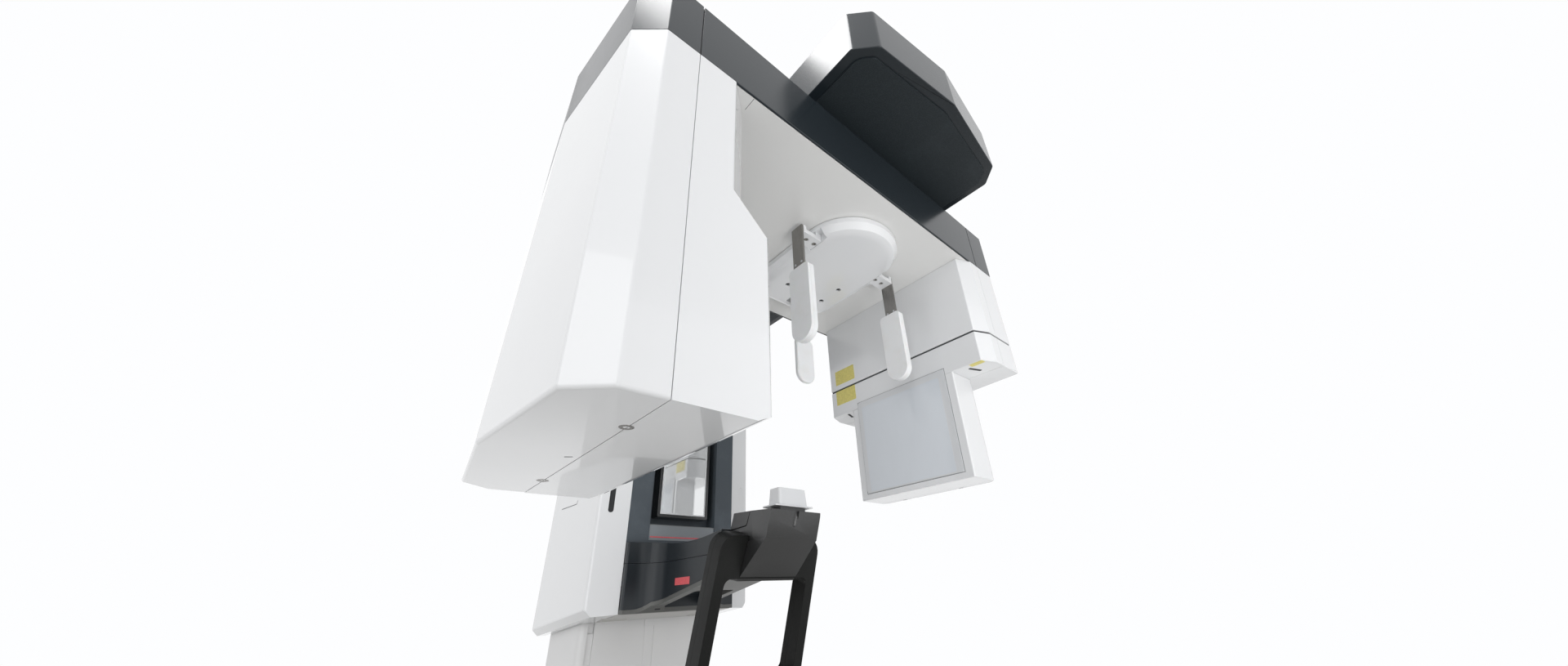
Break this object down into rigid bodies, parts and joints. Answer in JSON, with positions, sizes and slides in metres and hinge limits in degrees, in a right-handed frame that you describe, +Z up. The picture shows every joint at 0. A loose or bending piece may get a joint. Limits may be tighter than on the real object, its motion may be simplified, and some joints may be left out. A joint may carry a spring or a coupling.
{
  "type": "dental ct scanner",
  "caption": "White dental panoramic and CT scanner: wall-side column, lifting carriage with mirror, dark support arm with chin rest and grips, fixed upper arm, turning arm with source, detector, head support",
  "frame": {"origin": "middle of the four floor anchors, on the floor", "axes": "+X is the side of the detector, a patient's right when facing the column; +Y runs from the patient to the column and the wall; +Z is up along the column"},
  "size_m": [0.971, 1.4129, 2.222],
  "materials": {
    "shell_white": "smooth satin white paint",
    "column_white": "satin white paint on the column profile",
    "plate_grey": "satin grey paint",
    "band_grey": "satin dark grey paint",
    "arm_charcoal": "fine-grained charcoal moulding",
    "front_black": "fine-grained black moulding",
    "tray_grey": "light grey moulding",
    "underside_grey": "satin light grey paint",
    "pad_white": "soft white wipe-clean skin",
    "steel": "brushed",
    "cast_aluminium": "machined casting",
    "frame_steel": "dark grey frame paint",
    "drive_black": "black drive housings",
    "mirror_silver": "silvered glass",
    "sensor_blue": "smooth window over the flat sensor",
    "button_red": "glossy red"
  },
  "bodies": {
    "base": {"base_plate": "plate_grey", "column": "column_white", "column_cap": "column_white", "guide_rails": "steel", "lift_screw": "steel", "wall_bracket": "plate_grey"},
    "carriage": {"carriage_frame": "frame_steel", "guide_blocks": "drive_black", "lift_drive": "drive_black", "left_side_shell": "shell_white", "right_side_shell": "shell_white", "front_panel": "front_black", "mirror_frame": "front_black", "mirror_glass": "mirror_silver", "name_strip": "band_grey", "bottom_tray": "tray_grey", "support_arm": "arm_charcoal", "support_arm_belly": "arm_charcoal", "support_arm_tray": "tray_grey", "emergency_collar": "tray_grey", "chin_head": "arm_charcoal", "chin_head_cover": "arm_charcoal", "grip_front": "front_black", "grip_rear": "front_black", "upper_arm_shell": "band_grey", "upper_arm_cover": "front_black", "upper_arm_beam": "frame_steel", "hollow_shaft": "steel", "slew_motor": "drive_black", "head_plate": "shell_white"},
    "stop_button": {"emergency_button": "button_red"},
    "chin_rest": {"chin_cup": "shell_white", "chin_post": "steel"},
    "left_temple_rest": {"left_temple_block": "shell_white", "left_temple_bar": "steel", "left_temple_pad": "pad_white"},
    "right_temple_rest": {"right_temple_block": "shell_white", "right_temple_bar": "steel", "right_temple_pad": "pad_white"},
    "forehead_rest": {"forehead_bar": "steel", "forehead_pad": "pad_white"},
    "turning_arm": {"arm_casting": "cast_aluminium", "slew_ring": "steel", "arm_band": "band_grey", "source_end_band": "band_grey", "detector_end_band": "band_grey", "arm_top_cover": "band_grey", "arm_underside": "underside_grey", "source_frame": "frame_steel", "tube_unit": "cast_aluminium", "source_end_cap": "shell_white", "source_inner_shell": "shell_white", "detector_housing": "shell_white", "detector_end_cap": "shell_white", "sensor_rail": "steel"},
    "sensor": {"sensor_carriage": "drive_black", "sensor_housing": "shell_white", "sensor_end_cap": "shell_white", "sensor_case": "shell_white", "sensor_window": "sensor_blue"}
  },
  "joints": [
    {"name": "lift", "type": "slide", "parent": "base", "child": "carriage", "axis": [0, 0, 1], "range_m": [-0.1, 0.42]},
    {"name": "arm_spin", "type": "hinge", "parent": "carriage", "child": "turning_arm", "pos_m": [0, -0.8, 1.6], "axis": [0, 0, 1], "range_deg": [-25, 205]},
    {"name": "sensor_shift", "type": "slide", "parent": "turning_arm", "child": "sensor", "axis": [0, 1, 0], "range_m": [-0.04, 0.04]},
    {"name": "temple_right", "type": "slide", "parent": "carriage", "child": "right_temple_rest", "axis": [-1, 0, 0], "range_m": [-0.008, 0.05]},
    {"name": "temple_left", "type": "slide", "parent": "carriage", "child": "left_temple_rest", "axis": [1, 0, 0], "range_m": [-0.008, 0.05]},
    {"name": "forehead_slide", "type": "slide", "parent": "carriage", "child": "forehead_rest", "axis": [0, 1, 0], "range_m": [-0.018, 0.018]},
    {"name": "chin_lift", "type": "slide", "parent": "carriage", "child": "chin_rest", "axis": [0, 0, 1], "range_m": [0, 0.03]},
    {"name": "stop_press", "type": "slide", "parent": "carriage", "child": "stop_button", "axis": [0, 0, 1], "range_m": [0, 0.004], "stiffness_N_per_m": 800}
  ],
  "couplings": [
    {"joint": "temple_left", "follows": "temple_right", "ratio": 1}
  ]
}
